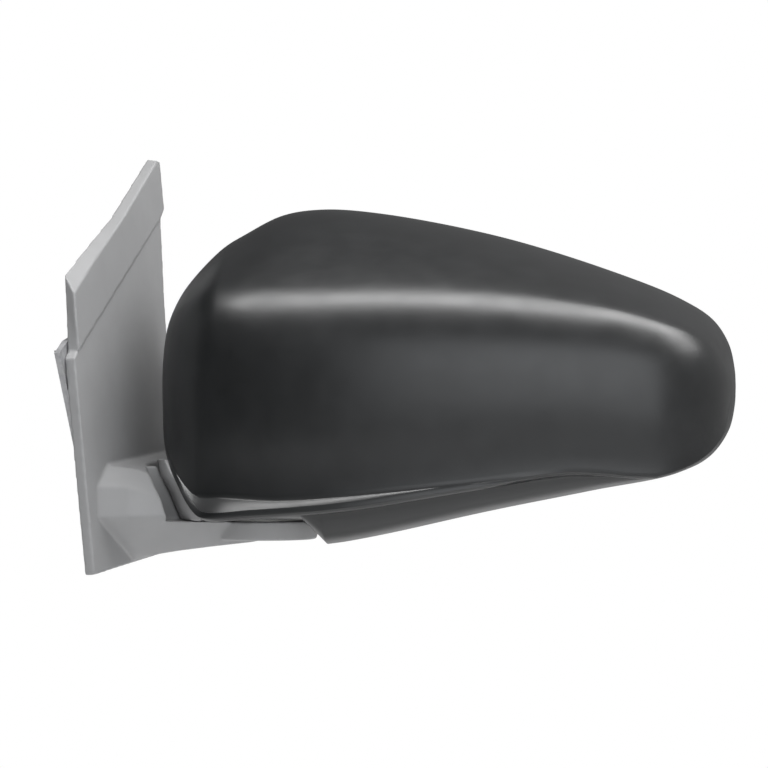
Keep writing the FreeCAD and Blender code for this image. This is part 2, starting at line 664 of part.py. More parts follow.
def make_head_frame():
    rear = "Dims.frame_front + Dims.frame_thick"
    plate = block("FramePlate", ("-12", "Dims.frame_front", "Dims.frame_low"),
                  ("Dims.frame_end", rear, "Dims.frame_high"))
    trims = [block("FrameTrimLow", ("Dims.case_high_x + 1", "-30", "-80"), ("170", "0", "-20")),
             block("FrameTrimHigh", ("Dims.case_high_x + 1", "-30", "20"), ("170", "0", "80"))]
    sleeve = cylinder("Sleeve", "Dims.sleeve_radius", "Dims.sleeve_top - Dims.sleeve_foot",
                      ("0", "0", "Dims.sleeve_foot"))
    flange = cylinder("SleeveFlange", "Dims.washer_radius", "Dims.flange_thick",
                      ("0", "0", "Dims.sleeve_foot"))
    web = block("SleeveWeb", ("-Dims.sleeve_web_half", "Dims.frame_front + 1", "Dims.sleeve_foot"),
                ("Dims.sleeve_web_half", "0", "Dims.sleeve_top"))
    bore = cylinder("SleeveBore", "Dims.tube_radius + Dims.running_gap", "100", ("0", "0", "-70"))
    relief = cylinder("SleeveRelief", "Dims.tube_radius + Dims.sleeve_relief",
                      "Dims.sleeve_top - Dims.sleeve_foot - 2 * Dims.land_length",
                      ("0", "0", "Dims.sleeve_foot + Dims.land_length"))
    holes = []
    for i, (x, z) in enumerate(frame_posts()):
        x, z = post_place(x, z)
        holes.append(cylinder(f"FrameHole{i}", "Dims.frame_screw + 0.2", "20",
                              (str(x), "Dims.frame_front - 5", str(z)), Y_DIR))
    for i, (x, z) in enumerate(case_screw_places()):
        holes.append(cylinder(f"CaseHole{i}", "Dims.case_screw", "20",
                              (x, "Dims.frame_front - 5", z), Y_DIR))
    over = cylinder("SpringRoom", "Dims.retainer_radius + 2", "80",
                    ("0", "0", "Dims.sleeve_top"))
    solid = fuse("FrameSolid", plate, sleeve, flange, web)
    piece(cut("Frame", solid, bore, relief, over, *trims, *holes), "head_frame", place_in_head)


def make_frame_screws():
    screws = []
    for i, (x, z) in enumerate(frame_posts()):
        x, z = post_place(x, z)
        head = cylinder(f"FrameScrewHead{i}", "Dims.frame_screw_head", "2.5",
                        (str(x), "Dims.frame_front - 2.5", str(z)), Y_DIR)
        shank = cylinder(f"FrameScrewShank{i}", "Dims.frame_screw", "Dims.frame_thick + 12",
                         (str(x), "Dims.frame_front", str(z)), Y_DIR)
        screws.append(fuse(f"FrameScrew{i}", head, shank))
    piece(group("FrameScrews", *screws), "frame_screws", place_in_head)


def case_screw_places():
    inset = "Dims.case_post"
    columns = (f"Dims.case_low_x + {inset}", f"Dims.case_high_x - {inset}")
    rows = (f"Dims.case_low_z + {inset}", "Dims.frame_high - 5")
    return [(x, z) for x in columns for z in rows]


def case_half(name, low, high, open_side):
    """One half of the drive's case, open at the split, with solid corner posts."""
    outer = block(f"{name}Outer", ("Dims.case_low_x", low, "Dims.case_low_z"),
                  ("Dims.case_high_x", high, "Dims.case_high_z"))
    wall = "Dims.case_wall"
    in_low = low if open_side == "low" else f"{low} + {wall}"
    in_high = high if open_side == "high" else f"{high} - {wall}"
    inner = block(f"{name}Inner", (f"Dims.case_low_x + {wall}", in_low, f"Dims.case_low_z + {wall}"),
                  (f"Dims.case_high_x - {wall}", in_high, f"Dims.case_high_z - {wall}"))
    posts = [cylinder(f"{name}Post{i}", "Dims.case_post", f"({high}) - ({low})", (x, low, z), Y_DIR)
             for i, (x, z) in enumerate(case_screw_places())]
    holes = [cylinder(f"{name}Hole{i}", "Dims.case_screw", "60", (x, "-30", z), Y_DIR)
             for i, (x, z) in enumerate(case_screw_places())]
    shell = cut(f"{name}Shell", outer, inner)
    return fuse(f"{name}Solid", shell, *posts), holes


PLUNGERS = {
    "vertical": ("Dims.drive_x", "Dims.drive_z + Dims.plunger_arm"),
    "horizontal": ("Dims.drive_x + Dims.plunger_arm", "Dims.drive_z"),
}


def make_case():
    front, holes = case_half("CaseFront", "Dims.case_front", "Dims.case_split", "high")
    piece(cut("FrontCase", front, *holes), "actuator_case_front", place_in_head)
    rear, holes = case_half("CaseRear", "Dims.case_split", "Dims.case_rear", "low")
    ears = []
    for i, side in enumerate(("-1", "1")):
        ears.append(block(f"CaseEar{i}",
                          ("Dims.drive_x - Dims.ear_half", "Dims.case_rear - 1",
                           f"Dims.drive_z + {side} * (Dims.ear_in + Dims.ear_out) / 2"
                           " - (Dims.ear_out - Dims.ear_in) / 2"),
                          ("Dims.drive_x + Dims.ear_half", "Dims.drive_y + Dims.ear_over",
                           f"Dims.drive_z + {side} * (Dims.ear_in + Dims.ear_out) / 2"
                           " + (Dims.ear_out - Dims.ear_in) / 2")))
    bores = [cylinder(f"PlungerBore{key}", "Dims.stem_radius + Dims.stem_gap", "10",
                      (x, "Dims.case_rear - 5", z), Y_DIR) for key, (x, z) in PLUNGERS.items()]
    pin_bore = cylinder("EarBore", "Dims.pin_radius + Dims.running_gap", "40",
                        ("Dims.drive_x", "Dims.drive_y", "Dims.drive_z - 20"))
    solid = fuse("RearCaseSolid", rear, *ears)
    piece(cut("RearCase", solid, *holes, *bores, pin_bore), "actuator_case_rear", place_in_head)


def make_case_screws():
    screws = []
    for i, (x, z) in enumerate(case_screw_places()):
        head = cylinder(f"CaseScrewHead{i}", "3.2", "2", (x, "Dims.case_rear", z), Y_DIR)
        shank = cylinder(f"CaseScrewShank{i}", "Dims.case_screw", "Dims.case_rear + 16",
                         (x, "-16", z), Y_DIR)
        screws.append(fuse(f"CaseScrew{i}", head, shank))
    piece(group("CaseScrews", *screws), "actuator_screws", place_in_head)


def make_wiring_socket():
    """Socket under the case, open downwards, with its contact pins."""
    x_low, x_high, y_low, y_high = 90, 108, -9, 3
    wall = 1.2
    low = "Dims.case_low_z - Dims.socket_depth"
    outer = block("SocketOuter", (str(x_low), str(y_low), low),
                  (str(x_high), str(y_high), "Dims.case_low_z"))
    inner = block("SocketInner", (str(x_low + wall), str(y_low + wall), f"{low} - 1"),
                  (str(x_high - wall), str(y_high - wall), "Dims.case_low_z - 2"))
    shell = cut("SocketShell", outer, inner)
    pins = [cylinder(f"SocketPin{i}", "0.6", "Dims.socket_depth - 3",
                     (str(x_low + 3.75 + 3.5 * i), str((y_low + y_high) / 2), f"{low} + 2"))
            for i in range(4)]
    piece(fuse("Socket", shell, *pins), "wiring_socket", place_in_head)


def worm_axis(key):
    """Base point expressions, direction and motor start of the worm that drives one wheel."""
    x, z = PLUNGERS[key]
    if key == "vertical":
        return (x, "Dims.wheel_centre_y", f"{z} - Dims.worm_offset"), X_DIR
    return (f"{x} - Dims.worm_offset", "Dims.wheel_centre_y", z), -Z_DIR


def along_axis(base, direction, distance):
    """The base point moved by a distance expression along the direction."""
    return tuple(f"{part} + ({step}) * ({distance})" for part, step in zip(base, direction))


def make_motors():
    for key in PLUNGERS:
        base, direction = worm_axis(key)
        start = along_axis(base, direction, "Dims.worm_length / 2 + 1.5")
        can = cylinder(f"Can{key}", "Dims.motor_radius", "Dims.motor_length", start, direction)
        end = along_axis(base, direction, "Dims.worm_length / 2 + 1")
        boss = cylinder(f"CanBoss{key}", "2.2", "1", end, direction)
        bore = cylinder(f"CanBore{key}", "Dims.shaft_radius + 0.35", "5", end, direction)
        solid = fuse(f"MotorSolid{key}", can, boss)
        piece(cut(f"Motor{key}", solid, bore), f"motor_{key}", place_in_head)


def make_worms():
    for key in PLUNGERS:
        base, direction = worm_axis(key)
        start = along_axis(base, direction, "-Dims.worm_length / 2")
        core = cylinder(f"WormCore{key}", "Dims.worm_radius - Dims.worm_ridge",
                        "Dims.worm_length", start, direction)
        shaft = cylinder(f"WormShaft{key}", "Dims.shaft_radius", "Dims.worm_length + 5", start,
                         direction)
        ridges = []
        for i in range(5):
            place = along_axis(base, direction, f"-Dims.worm_length / 2 + 0.6 + {i} * 1.95")
            ridges.append(cylinder(f"Ridge{key}{i}", "Dims.worm_radius", "1", place, direction))
        piece(fuse(f"Worm{key}", core, shaft, *ridges), f"worm_{key}", place_in_head)


def make_wheels():
    teeth = 24
    for key, (x, z) in PLUNGERS.items():
        low = "Dims.wheel_centre_y - Dims.wheel_thick / 2"
        disc = cylinder(f"WheelDisc{key}", "Dims.wheel_radius", "Dims.wheel_thick",
                        (x, low, z), Y_DIR)
        hub = cylinder(f"WheelHub{key}", "Dims.wheel_hub", "Dims.wheel_thick + 3", (x, low, z),
                       Y_DIR)
        bore = cylinder(f"WheelBore{key}", "Dims.stem_radius + Dims.stem_gap", "20",
                        (x, "-12", z), Y_DIR)
        gaps = []
        for i in range(teeth):
            angle = 2 * math.pi * i / teeth
            gaps.append(cylinder(f"ToothGap{key}{i}", "Dims.tooth_depth / 2", "20",
                                 (f"{x} + Dims.wheel_radius * {math.cos(angle):.4f}", "-12",
                                  f"{z} + Dims.wheel_radius * {math.sin(angle):.4f}"), Y_DIR))
        solid = fuse(f"WheelSolid{key}", disc, hub)
        piece(cut(f"Wheel{key}", solid, bore, *gaps), f"worm_wheel_{key}", place_in_head)


def make_plungers():
    for key, (x, z) in PLUNGERS.items():
        stem = cylinder(f"Stem{key}", "Dims.stem_radius", "Dims.drive_y - Dims.stem_end",
                        (x, "Dims.stem_end", z), Y_DIR)
        tip = ball(f"Tip{key}", "Dims.ball_radius", (x, "Dims.drive_y", z))
        piece(fuse(f"Plunger{key}", stem, tip), f"plunger_{key}", place_in_head)


def make_gimbal():
    centre = ("Dims.drive_x", "Dims.drive_y", "Dims.drive_z")
    low = "Dims.drive_y - Dims.ring_thick / 2"
    outer = cylinder("RingOuter", "Dims.ring_radius", "Dims.ring_thick",
                     (centre[0], low, centre[2]), Y_DIR)
    pins = []
    for i, direction in enumerate((X_DIR, Z_DIR)):
        start = along_axis(centre, direction, "-Dims.pin_reach")
        pins.append(cylinder(f"RingPin{i}", "Dims.pin_radius", "2 * Dims.pin_reach", start,
                             direction))
    bore = cylinder("RingBore", "Dims.ring_bore", "20", (centre[0], "Dims.drive_y - 10", centre[2]),
                    Y_DIR)
    piece(cut("Gimbal", fuse("GimbalSolid", outer, *pins), bore), "gimbal_ring", place_in_head)


# ---------------------------------------------------------------- glass


def make_swivel_plate():
    centre = ("Dims.drive_x", "Dims.swivel_y", "Dims.drive_z")
    disc = cylinder("SwivelDisc", "Dims.swivel_radius", "Dims.swivel_thick", centre, Y_DIR)
    ears = []
    for i, side in enumerate(("-1", "1")):
        middle = f"Dims.drive_x + {side} * (Dims.ear_in + Dims.ear_out) / 2"
        half = "(Dims.ear_out - Dims.ear_in) / 2"
        ears.append(block(f"SwivelEar{i}",
                          (f"{middle} - {half}", "Dims.drive_y - Dims.ear_over",
                           "Dims.drive_z - Dims.ear_half"),
                          (f"{middle} + {half}", "Dims.swivel_y + 1",
                           "Dims.drive_z + Dims.ear_half")))
    cups = []
    sockets = []
    for key, (x, z) in PLUNGERS.items():
        cups.append(cylinder(f"Cup{key}", "Dims.cup_radius + 1.6", "Dims.swivel_y - 17.9",
                             (x, "18", z), Y_DIR))
        sockets.append(ball(f"Socket{key}", "Dims.cup_radius", (x, "Dims.drive_y", z)))
    pin_bore = cylinder("SwivelBore", "Dims.pin_radius + Dims.running_gap", "40",
                        ("Dims.drive_x - 20", "Dims.drive_y", "Dims.drive_z"), X_DIR)
    solid = fuse("SwivelSolid", disc, *ears, *cups)
    piece(cut("Swivel", solid, *sockets, pin_bore), "swivel_plate", place_in_head)


def make_heater_terminals():
    """Two spade terminals that stand on the back of the glass backing."""
    spades = []
    for i, z in enumerate(("0", "10")):
        foot = block(f"SpadeFoot{i}", ("138", "Dims.terminal_y - 0.8", f"{z} - 2.5"),
                     ("144", "Dims.terminal_y", f"{z} + 2.5"))
        blade = block(f"SpadeBlade{i}", ("138", "Dims.terminal_y - 7.5", f"{z} - 0.4"),
                      ("142.8", "Dims.terminal_y", f"{z} + 0.4"))
        spades.append(fuse(f"Spade{i}", foot, blade))
    piece(group("Spades", *spades), "heater_terminals", place_in_head)


def domed(outline, low, high, dome_low, dome_high):
    """A slab between two spherical faces that bulge to the rear, centred on the drive axis."""
    block_solid = slab(outline, low - 12, high + 1)
    centre = Vector(d.drive_x, 0, d.drive_z)
    rear_ball = Part.makeSphere(d.glass_radius, centre + Vector(0, dome_high - d.glass_radius, 0))
    shape = block_solid.common(rear_ball)
    if dome_low is not None:
        front_ball = Part.makeSphere(d.glass_radius, centre + Vector(0, dome_low - d.glass_radius, 0))
        return shape.cut(front_ball)
    return shape.common(Part.makeBox(400, 40, 300, Vector(-100, low, -150)))


def make_glass():
    backing_top = d.backing_y + d.backing_thick
    heater_top = backing_top + d.heater_thick
    glass_top = heater_top + d.glass_thick
    edge = grown(GLASS_OUTLINE, 1.2)
    inside = grown(GLASS_OUTLINE, -6)
    heater = domed(inside, backing_top, heater_top, backing_top, heater_top)
    glass = domed(GLASS_OUTLINE, heater_top, glass_top, heater_top, glass_top)
    tray = domed(edge, d.backing_y, glass_top, d.backing_y, glass_top + 0.4)
    bed = domed(GLASS_OUTLINE, backing_top, glass_top + 2, backing_top, glass_top + 2)
    pad_step = domed(GLASS_OUTLINE, backing_top, heater_top, backing_top, heater_top)
    hub = Part.makeCylinder(d.swivel_radius + d.joint_gap, d.backing_thick,
                            Vector(d.drive_x, d.backing_y - d.backing_thick, d.drive_z), Y_DIR)
    backing = tray.cut(bed).fuse(pad_step.cut(heater)).cut(hub).removeSplitter()
    piece(feature("Backing", largest_solid(backing)), "glass_backing", place_in_head)
    piece(feature("Heater", largest_solid(heater)), "heater_pad", place_in_head)
    piece(feature("Glass", largest_solid(glass)), "mirror_glass", place_in_head)


def check_and_write():
    doc.recompute()
    for obj in doc.Objects:
        if "Invalid" in obj.State or "Error" in obj.State:
            raise RuntimeError(f"{obj.Name} failed: {obj.State}")
    for obj in pieces:
        if obj.Shape.isNull() or not obj.Shape.isValid():
            raise RuntimeError(f"{obj.Label} has no valid shape")
    for obj in pieces:
        obj.Shape.exportStep(f"parts/{obj.Label}.step")
        box = obj.Shape.BoundBox
        print(f"{obj.Label}: {len(obj.Shape.Solids)} solid(s), {obj.Shape.Volume:.0f} mm3, "
              f"x {box.XMin:.1f}..{box.XMax:.1f} y {box.YMin:.1f}..{box.YMax:.1f} "
              f"z {box.ZMin:.1f}..{box.ZMax:.1f}")


make_base_cover()
make_bracket()
make_gasket()
make_studs()
make_peg()
make_grommet()
make_cover_screws()
make_pivot()
make_pivot_spring()
make_shells()
make_foot()
make_head_frame()
make_frame_screws()
make_case()
make_case_screws()
make_wiring_socket()
make_motors()
make_worms()
make_wheels()
make_plungers()
make_gimbal()
make_swivel_plate()
make_heater_terminals()
make_glass()
check_and_write()
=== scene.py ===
import json
import math

import bmesh
import bpy
import numpy as np
from mathutils import Matrix, Vector


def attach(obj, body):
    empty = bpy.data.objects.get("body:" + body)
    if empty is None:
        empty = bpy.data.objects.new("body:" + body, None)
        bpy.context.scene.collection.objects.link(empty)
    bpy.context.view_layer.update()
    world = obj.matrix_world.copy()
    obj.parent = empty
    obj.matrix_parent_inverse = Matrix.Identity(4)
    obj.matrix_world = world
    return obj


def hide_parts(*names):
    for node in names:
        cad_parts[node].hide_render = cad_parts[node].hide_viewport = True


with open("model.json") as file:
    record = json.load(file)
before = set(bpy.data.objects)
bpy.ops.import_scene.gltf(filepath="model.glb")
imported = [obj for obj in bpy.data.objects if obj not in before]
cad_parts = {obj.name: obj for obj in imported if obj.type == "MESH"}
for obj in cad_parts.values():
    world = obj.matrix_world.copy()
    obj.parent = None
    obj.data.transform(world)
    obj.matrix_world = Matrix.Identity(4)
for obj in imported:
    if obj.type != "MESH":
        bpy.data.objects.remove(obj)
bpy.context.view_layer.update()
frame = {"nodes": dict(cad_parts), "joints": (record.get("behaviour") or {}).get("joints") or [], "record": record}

# Head shells are drawn in the head's frame in millimetres (x along the housing, y to the glass,
# z up the fold axis) and placed by the fold joint and the housing's turn about it.
MM = 0.001
TOE = math.radians(10)
FOLD = next(joint for joint in frame["joints"] if joint["name"] == "fold")
FOLD_POINT = Vector(FOLD["pos_m"][:2] + [0.0])
HEAD_MATRIX = Matrix.Translation(FOLD_POINT) @ Matrix.Rotation(TOE, 4, "Z") @ Matrix.Scale(MM, 4)

JOINT_Y = 18.0
JOINT_GAP = 0.4
RIM_Y = 46.0
WALL = 2.4
LIP_EDGE = 0.2
SHOULDER_SLOPE = math.radians(45)

# The rear housing: room round the glass, the depth of its tub and the height of its floor.
GLASS_GAP = 5.8
TUB_DEPTH = 13.0
TUB_FLOOR = 12.9

# The turret on the arm is a cone round the fold axis, and the cover's pocket is a wider one.
FOOT_LOW, FOOT_HIGH = 33.0, 44.8
FOOT_BOTTOM, FOOT_TOP = -56.7, -36.0
FOOT_SPREAD = 0.045
FOOT_RISE = 4.5
POCKET_FLOOR = -57
POCKET_SLOPE = 0.25
POCKET_CLEAR = 43.0
POCKET_WEB = 45.5
WEB_BOTTOM, WEB_TOP = -56.5, -34.5
WEB_ANGLES = (195, 201)

COVER_VOXEL, FOOT_VOXEL = 0.48, 0.5


# ---------------------------------------------------------------- curves


def smooth_through(points, samples=400):
    """Dense samples of a centripetal Catmull-Rom curve through points (rows of any width)."""
    pts = np.array(points, float)
    pts = np.vstack([2 * pts[0] - pts[1], pts, 2 * pts[-1] - pts[-2]])
    spans = len(pts) - 3
    out = []
    for i in range(spans):
        p0, p1, p2, p3 = pts[i:i + 4]
        k0 = 0.0
        k1 = k0 + np.linalg.norm(p1 - p0) ** 0.5
        k2 = k1 + np.linalg.norm(p2 - p1) ** 0.5
        k3 = k2 + np.linalg.norm(p3 - p2) ** 0.5
        count = max(2, samples // spans)
        t = np.linspace(k1, k2, count, endpoint=(i == spans - 1))[:, None]
        a1 = (k1 - t) / (k1 - k0) * p0 + (t - k0) / (k1 - k0) * p1
        a2 = (k2 - t) / (k2 - k1) * p1 + (t - k1) / (k2 - k1) * p2
        a3 = (k3 - t) / (k3 - k2) * p2 + (t - k2) / (k3 - k2) * p3
        b1 = (k2 - t) / (k2 - k0) * a1 + (t - k0) / (k2 - k0) * a2
        b2 = (k3 - t) / (k3 - k1) * a2 + (t - k1) / (k3 - k1) * a3
        out.append((k2 - t) / (k2 - k1) * b1 + (t - k1) / (k2 - k1) * b2)
    return np.vstack(out)


def along_x(points):
    """The smooth curve through points as a function of x."""
    dense = smooth_through(points)
    order = np.argsort(dense[:, 0])
    return lambda x: np.interp(x, dense[order, 0], dense[order, 1])


def ease(low, high, x):
    """0 below low, 1 above high, smooth between."""
    k = np.clip((x - low) / (high - low), 0, 1)
    return k * k * (3 - 2 * k)


def bezier(p0, p1, p2, p3, count, last=False):
    t = np.linspace(0, 1, count, endpoint=last)[:, None]
    return ((1 - t) ** 3 * p0 + 3 * (1 - t) ** 2 * t * p1 + 3 * (1 - t) * t ** 2 * p2
            + t ** 3 * p3)


# ---------------------------------------------------------------- the head's outline

TIP_IN, TIP_OUT = -44.5, 196.4
TOP_LINE = along_x([(-44.5, -4), (-44, 6), (-40, 30.5), (-37, 39), (-32, 46), (-20, 58), (-11, 63.5),
                    (5, 71.5), (22, 74), (48, 72), (100, 61.5), (150, 45.5), (174, 35.5), (187, 27),
                    (193.5, 17), (196, 6), (196.4, -1)])
ARM_UNDERSIDE = along_x([(-44.5, -4), (-44, -10), (-41.5, -22), (-38, -30.5), (-32.5, -40),
                         (-26.5, -49), (-22.5, -54), (-18, -56), (-10, -56), (22, -56)])
SKIRT_LOW = along_x([(31, -66), (38, -65), (56, -61.5), (98, -52), (140, -43.5), (174, -36.5),
                     (186, -30), (193.5, -19.5), (196, -9), (196.4, -1)])
REAR_LOW = along_x([(22, -56), (44, -57.5), (60, -57), (98, -50.5), (140, -43), (174, -36.5),
                    (186, -30), (193.5, -19.5), (196, -9), (196.4, -1)])
FRONT_LINE = along_x([(-44.5, 18), (-44, 6), (-42, -7.5), (-38.5, -20), (-32.5, -30), (-22, -38.5),
                      (-8, -44.5), (12, -49), (40, -52), (75, -52), (110, -49), (145, -42),
                      (170, -33), (184, -22), (192, -9), (195.5, 5), (196.4, 18)])
SHOULDER_LINE = along_x([(-44.5, 2), (-39, 26), (-30, 36), (-18, 39.5), (30, 40), (84, 38),
                         (130, 33), (165, 26), (186, 16), (196.4, 2)])
LIP_LINE = along_x([(-44.5, -6), (-38, -29), (-30, -43), (-24, -51), (-19, -54.5), (4, -53.5),
                    (43, -50), (90, -42.5), (131, -36.5), (146, -37), (160, -38), (175, -37),
                    (190, -28), (196.4, -2)])
LIP_TOP_LINE = along_x([(-44.5, -5), (-38, -26), (-30, -39), (-22, -46), (-10, -46.5), (13, -47.5),
                        (43, -45.5), (90, -40.5), (131, -35.5), (146, -36), (160, -37.5),
                        (175, -36.5), (190, -26), (196.4, -1.5)])
SKIRT_START, SKIRT_FULL = 21.5, 31.0


def bottom_line(x):
    """The lowest line: flat over the arm, then straight down to the skirt's sharp corner."""
    if x <= SKIRT_START:
        return ARM_UNDERSIDE(x)
    if x < SKIRT_FULL:
        k = (x - SKIRT_START) / (SKIRT_FULL - SKIRT_START)
        return (1 - k) * ARM_UNDERSIDE(SKIRT_START) + k * SKIRT_LOW(SKIRT_FULL)
    return SKIRT_LOW(x)


def joint_bottom(x):
    """The lowest line at the joint, where the skirt has faded out."""
    return REAR_LOW(x) if x > 22 else ARM_UNDERSIDE(x)


def lip_flare(x):
    """How far the lip leans forward for each millimetre of its height."""
    return 0.85 * ease(-44, -24, x) * (1 - ease(95, 140, x))


def lip_recess(x):
    return 7.0 * ease(-40, -10, x) * (1 - ease(50, 136, x))


def section(x):
    """One section of the head's front, from the joint over the top to the joint below.

    Rows are (y, z).  Returns them with the index of the lip's edge."""
    top, bottom, front = TOP_LINE(x), bottom_line(x), FRONT_LINE(x)
    shoulder, lip, lip_top = SHOULDER_LINE(x), LIP_LINE(x), LIP_TOP_LINE(x)
    depth = JOINT_Y - front
    shoulder = min(shoulder, top - 0.18 * (top - bottom))
    lip = np.clip(lip, bottom + 0.006 * (top - bottom), shoulder)
    lip_top = np.clip(lip_top, lip + 0.008 * (top - bottom), shoulder)
    middle = 0.5 * (shoulder + lip_top)
    y_shoulder = front + 0.185 * depth
    reach = 0.3 * depth
    p_top = np.array([JOINT_Y, top])
    p_shoulder = np.array([y_shoulder, shoulder])
    direction = np.array([-math.cos(SHOULDER_SLOPE), -math.sin(SHOULDER_SLOPE)])
    rise = top - shoulder
    # over the top to the shoulder
    rows = [bezier(p_top, p_top - [0.2 * depth, 0], p_shoulder - direction * min(reach, rise * 0.5),
                   p_shoulder, 26)]
    # down the upper and lower half of the face
    p_middle = np.array([front, middle])
    drop = shoulder - middle
    rows.append(bezier(p_shoulder, p_shoulder + direction * min(0.18 * depth, 0.45 * drop),
                       p_middle + [0, 0.5 * drop], p_middle, 24))
    y_lip_top = front + 0.045 * depth
    p_lip_top = np.array([y_lip_top, lip_top])
    span = middle - lip_top
    rows.append(bezier(p_middle, p_middle - [0, 0.5 * span],
                       p_lip_top + [0, 0.35 * span], p_lip_top, 18))
    # the lip, leaning forward
    height = lip_top - lip
    flare, recess = lip_flare(x) * height, lip_recess(x)
    p_lip = np.array([y_lip_top + 0.015 * depth - flare, lip])
    rows.append(bezier(p_lip_top, p_lip_top - [0.34 * flare, 0.28 * height],
                       p_lip + [0.28 * flare, 0.34 * height], p_lip, 12))
    edge = sum(len(row) for row in rows)
    # back under the lip, down the skirt and along the bottom to the joint
    fall = lip - bottom
    p_under = np.array([p_lip[0] + recess + 0.05 * depth, lip - 0.12 * fall])
    p_bottom = np.array([p_under[0] + 0.28 * depth, bottom])
    rows.append(bezier(p_lip, p_lip + [0.5 * recess, -0.04 * fall],
                       p_under - [0.4 * recess, -0.03 * fall], p_under, 8))
    rows.append(bezier(p_under, p_under - [-0.02 * depth, 0.62 * fall],
                       p_bottom - [0.16 * depth, 0], p_bottom, 14))
    p_end = np.array([JOINT_Y, joint_bottom(x)])
    rows.append(np.linspace(p_bottom, p_end, 8))
    return np.vstack(rows), edge


def clear_of_pocket(x, y, z):
    """Draw a point near the inboard end in until it can fold past the cover's pocket."""
    limit = POCKET_CLEAR + POCKET_SLOPE * (z - POCKET_FLOOR)
    low = ease(-30, -34, z) * ease(-9, -15, x)
    shrink = 1 - low * max(0, 1 - limit / math.hypot(x, y))
    return float(x * shrink), float(y * shrink), float(z)


def stations(count):
    """Places along the head, packed close at both ends and at the skirt's inboard edge."""
    u = (1 - np.cos(np.linspace(0, math.pi, count))) / 2
    base = TIP_IN + (TIP_OUT - TIP_IN) * u
    return np.unique(np.round(np.concatenate([base, np.linspace(20.5, 32, 24)]), 3))


# ---------------------------------------------------------------- mesh helpers


def shade_smooth(obj):
    for polygon in obj.data.polygons:
        polygon.use_smooth = True


def mesh_object(name, vertices, faces):
    mesh = bpy.data.meshes.new(name)
    mesh.from_pydata([tuple(v) for v in vertices], [], faces)
    mesh.validate()
    mesh.update()
    work = bmesh.new()
    work.from_mesh(mesh)
    bmesh.ops.remove_doubles(work, verts=work.verts, dist=1e-5)
    bmesh.ops.dissolve_degenerate(work, edges=work.edges, dist=1e-6)
    bmesh.ops.recalc_face_normals(work, faces=work.faces)
    work.to_mesh(mesh)
    work.free()
    obj = bpy.data.objects.new(name, mesh)
    shade_smooth(obj)
    bpy.context.scene.collection.objects.link(obj)
    return obj


def grid_faces(rows, columns):
    return [(r * columns + c, r * columns + c + 1, (r + 1) * columns + c + 1, (r + 1) * columns + c)
            for r in range(rows - 1) for c in range(columns - 1)]


def to_world(points):
    return [HEAD_MATRIX @ Vector(p) for p in points]


def apply_modifiers(obj):
    graph = bpy.context.evaluated_depsgraph_get()
    mesh = bpy.data.meshes.new_from_object(obj.evaluated_get(graph))
    old = obj.data
    obj.modifiers.clear()
    obj.data = mesh
    bpy.data.meshes.remove(old)


# ---------------------------------------------------------------- head shells


def shell_from_rows(name, grid):
    """A thickened shell from a grid of points[station][row] in the head's frame."""
    count, width = len(grid), len(grid[0])
    vertices = to_world([p for line in grid for p in line])
    obj = mesh_object(name, vertices, grid_faces(count, width))
    solidify = obj.modifiers.new("wall", "SOLIDIFY")
    solidify.thickness = WALL * MM
    solidify.offset = -1
    solidify.use_rim = True
    bevel = obj.modifiers.new("edge", "BEVEL")
    bevel.width = LIP_EDGE * MM
    bevel.segments = 2
    bevel.limit_method = "ANGLE"
    bevel.angle_limit = math.radians(50)
    apply_modifiers(obj)
    shade_smooth(obj)
    return obj


def make_head_front():
    """The front cap and the lower cover, one grid of sections parted at the lip's edge."""
    places = stations(150)
    cap_grid, cover_grid = [], []
    for x in places:
        rows, edge = section(x)
        cap_grid.append([(x, y, z) for y, z in rows[:edge + 1]])
        cover_grid.append([(x, y, z) for y, z in rows[edge:]])
    cap = shell_from_rows("front_cap_shell", cap_grid)
    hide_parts("front_cap")
    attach(cap, "head")
    cover = shell_from_rows("lower_cover_shell", cover_grid)
    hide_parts("lower_cover")
    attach(cover, "head")
    return cap, cover


GLASS_EDGE = [(2, 42), (26, 57), (62, 54.5), (98, 46.5), (132, 37.5), (162, 26), (180, 12),
              (182, -6), (168, -21), (138, -29), (98, -37), (58, -44.5), (22, -46), (3, -33),
              (-3, 0)]
MIDDLE = np.array([80.0, 4.0])


def closed_curve(points, samples=360):
    """A smooth closed loop through points."""
    ring = np.array(points + points[:1], float)
    padded = np.vstack([points[-2:], ring, points[1:3]])
    dense = smooth_through(padded, samples)
    start = np.argmin(np.linalg.norm(dense[:len(dense) // 3] - ring[0], axis=1))
    end = len(dense) // 2 + np.argmin(np.linalg.norm(dense[len(dense) // 2:] - ring[-1], axis=1))
    return dense[start:end]


def radius_at(loop, angles):
    """Distance from MIDDLE to a closed loop in each direction."""
    offset = loop - MIDDLE
    theta = np.arctan2(offset[:, 1], offset[:, 0])
    radius = np.hypot(offset[:, 0], offset[:, 1])
    order = np.argsort(theta)
    theta, radius = theta[order], radius[order]
    theta = np.concatenate([theta - 2 * math.pi, theta, theta + 2 * math.pi])
    return np.interp(angles, theta, np.concatenate([radius, radius, radius]))


def joint_loop():
    """The head's outline at the joint, run round once."""
    x = stations(220)
    upper = [(v, TOP_LINE(v)) for v in x]
    lower = [(v, joint_bottom(v)) for v in x[::-1]]
    return np.array(upper + lower[1:-1], float)


